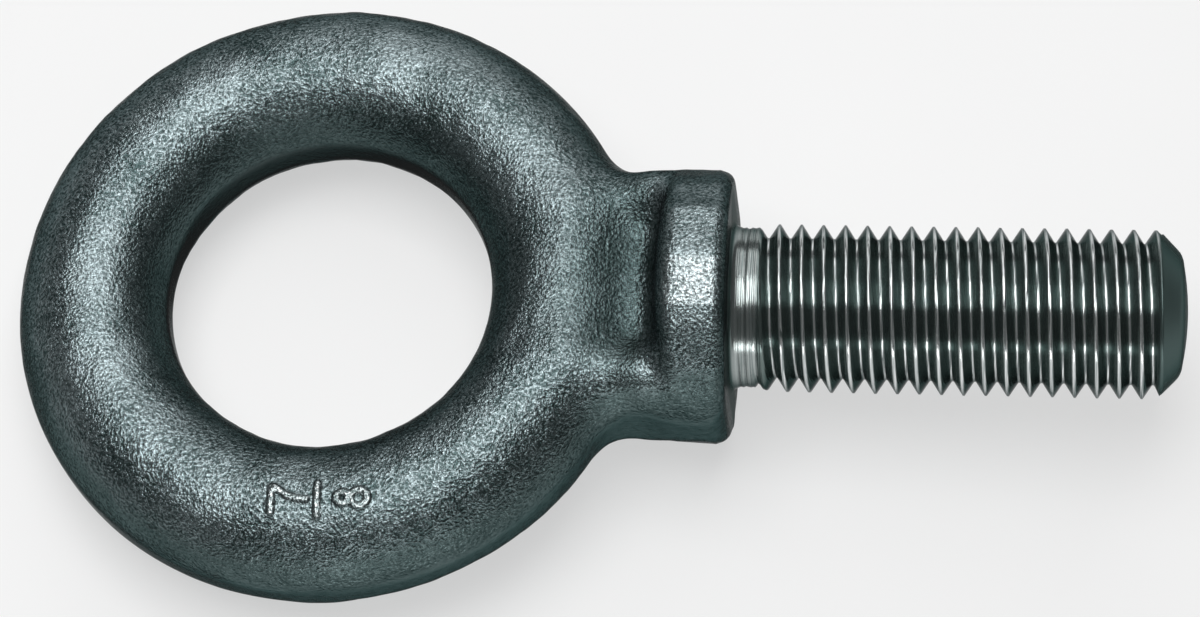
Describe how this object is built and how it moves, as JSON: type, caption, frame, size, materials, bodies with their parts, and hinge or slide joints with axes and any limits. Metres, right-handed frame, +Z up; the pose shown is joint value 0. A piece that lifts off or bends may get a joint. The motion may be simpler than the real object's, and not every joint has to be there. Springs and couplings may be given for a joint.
{
  "type": "shoulder eye bolt",
  "caption": "Forged steel lifting eye bolt: a round ring, a flared neck and a round shoulder on one threaded shank, lying as it comes to rest",
  "frame": {"origin": "centre of the shoulder's seat face, on the shank's axis", "axes": "the part lies on level ground as it comes to rest. +X runs along the shank towards its free end, seen from above, and the shank rises from the ground by the rest angle. +Z is up. The eye's plane holds the Y axis."},
  "size_m": [0.155, 0.084, 0.0364],
  "materials": {
    "forged_steel": "drop-forged and blasted, dark grey with a fine rough grain; trimmed bands smoother; thread and seat machined bright"
  },
  "bodies": {
    "root": {"eye_bolt": "forged_steel"}
  },
  "joints": []
}
